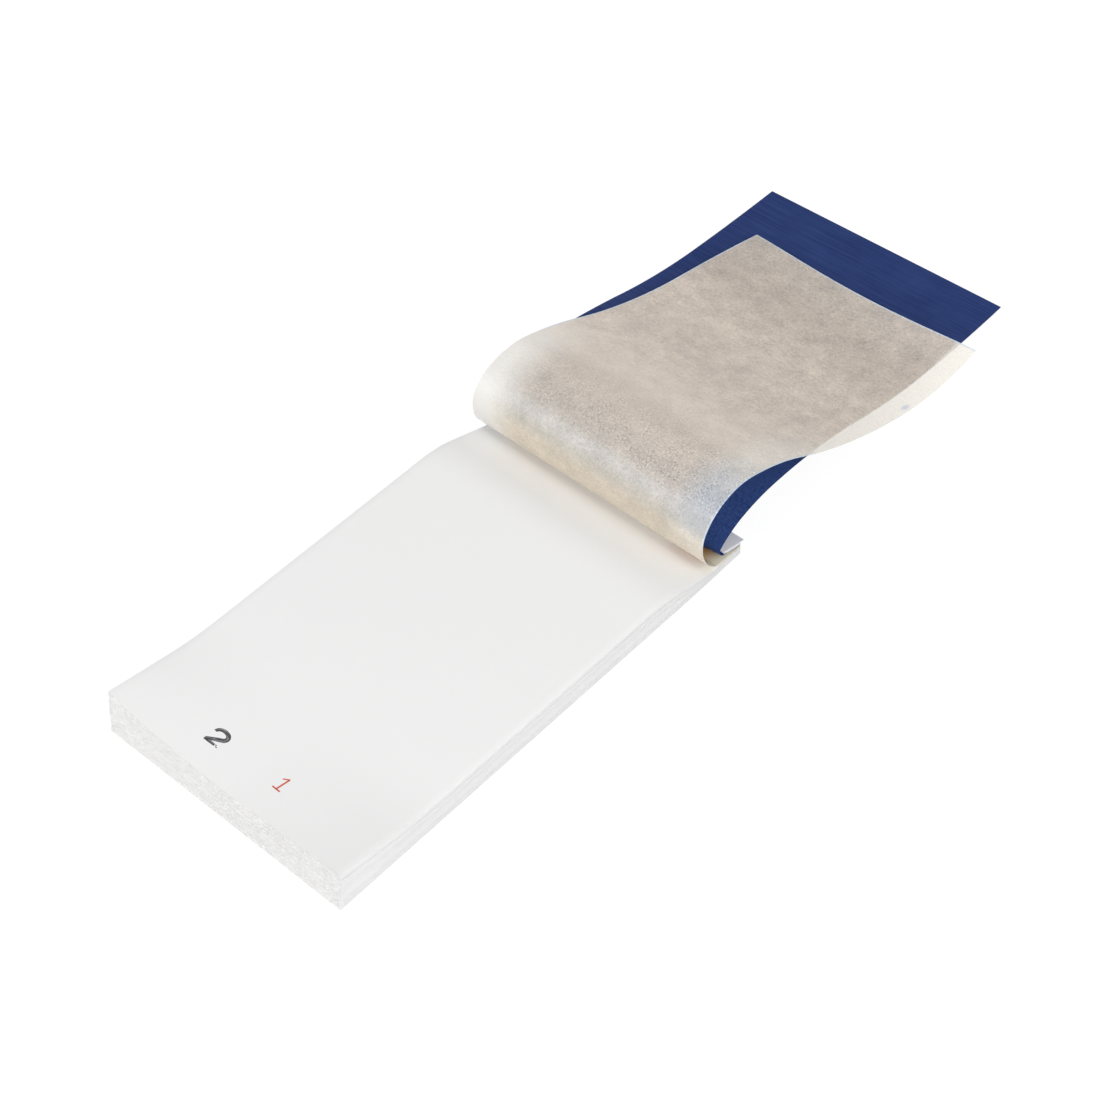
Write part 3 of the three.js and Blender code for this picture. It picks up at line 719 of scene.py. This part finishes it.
def ink_of(name, colour, thin, streak):
    """A stamping ink that runs thin in streaks along each stroke"""
    material, tree, surface = new_material(name)
    place = add_node(tree, "ShaderNodeMapping", {
        "Vector": add_node(tree, "ShaderNodeTexCoord").outputs["UV"],
        "Scale": (FLAT_UNIT * 0.35, FLAT_UNIT * 1.3, 1)})
    worn = spread_of(tree, noise(tree, place.outputs[0], 1.0, 3, 0.6), 0.5, 0.5 + streak)
    tree.links.new(mixed(tree, worn, colour, thin), surface.inputs["Base Color"])
    surface.inputs["Roughness"].default_value = 0.75
    return material


def stroke(start, end, count, width):
    """A straight stroke between two points"""
    return np.linspace(start, end, count), width


grey_ink = ink_of("grey_black_ink", (0.035, 0.035, 0.04), (0.5, 0.5, 0.51), 0.2)
red_ink = ink_of("red_ink", (0.58, 0.09, 0.05), (0.75, 0.24, 0.16), 0.3)
turn = np.radians(np.linspace(182, -38, 32))
curl = np.stack([-0.1 + 1.9 * np.cos(turn), 1.25 + 1.3 * np.sin(turn)], 1)
fall = np.linspace(curl[-1], (-2.15, -1.55), 12)[1:]
swelling = np.concatenate([np.linspace(0.9, 1.25, 32), np.linspace(1.25, 0.85, 11)])
two = [(np.concatenate([curl, fall]), swelling),
       stroke((-2.55, -1.75), (0.75, -1.8), 14, np.linspace(0.95, 0.65, 14)),
       stroke((0.9, -1.6), (1.3, -1.6), 4, 0.32),
       stroke((1.2, -1.98), (1.75, -1.98), 4, 0.28)]
print_figure("figure_two", two, (-11.5, -59.35), grey_ink)
one = [stroke((-0.72, -1.6), (-0.22, 2.25), 12, 0.46),
       stroke((-1.97, -1.56), (0.53, -1.66), 8, 0.42),
       stroke((-1.68, 1.4), (-0.16, 2.33), 6, 0.36)]
print_figure("figure_one", one, (9.5, -58.8), red_ink)


# What is left of the first slip: its torn stub, folded back on itself inside the roll. The teeth of the
# perforation stand along its free edge.
stub = Sheet(
    3.6, [(4.9, 0, 0), (3.5, -60, -60), (1.4, -132, -132), (8.7, 0, 0)], step=0.2,
    apart=((0, 0, 0.8), (2.3, 0, 1.15), (4.6, 0, 1.85), (6.6, 0.5, 2.0), (8.4, 1.2, 1.0), (9.8, 1.1, 0.35),
           (14, 0.4, 0.4), (18.5, -0.2, 0.4)))
# Its paper is painted whiter and bluer than the page: painted light inside the roll's shade, and a painted
# blue reflection from the carbon.
stub_white_painted_light = paper("stub_white_painted_light", (0.98, 0.98, 1.0), 0.8, cloud=0.02, fibre=0.03, relief=0.2, flat=True)
piece = sheet_piece(
    "torn_stub", stub, span=(0, stub.length), material=stub_white_painted_light, bodies=("pad", None), hinge=0, spread=0,
    ends=(True, True), thickness=0.1, columns=152, torn=0.35)
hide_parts("original_1_stub")


# The backing board: thin plain pulp board, bent up a little by the staples. It is the CAD's own solid,
# which lies hidden under the block, with its material.
pulp_board = paper("pulp_board", (0.84, 0.835, 0.82), 0.95, cloud=0.06, fibre=0.12, relief=0.6)
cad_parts["backing_board"].material_slots[0].material = pulp_board


# The staples: round galvanised wire, driven through the stack and clinched under the board. They are
# the CAD's own solids too, with the fine dull streaks that drawing leaves along the wire.
staple_wire, tree, surface = new_material("staple_wire")
place = add_node(tree, "ShaderNodeMapping", {
    "Vector": add_node(tree, "ShaderNodeTexCoord").outputs["Object"], "Scale": (200, 4000, 4000)})
dull = spread_of(tree, noise(tree, place.outputs[0], 1.0, 2), 0.0, 1.0, 0.25, 0.45)
tree.links.new(dull, surface.inputs["Roughness"])
surface.inputs["Base Color"].default_value = (0.62, 0.63, 0.65, 1)
surface.inputs["Metallic"].default_value = 1
for name in ("staple_left", "staple_right"):
    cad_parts[name].material_slots[0].material = staple_wire
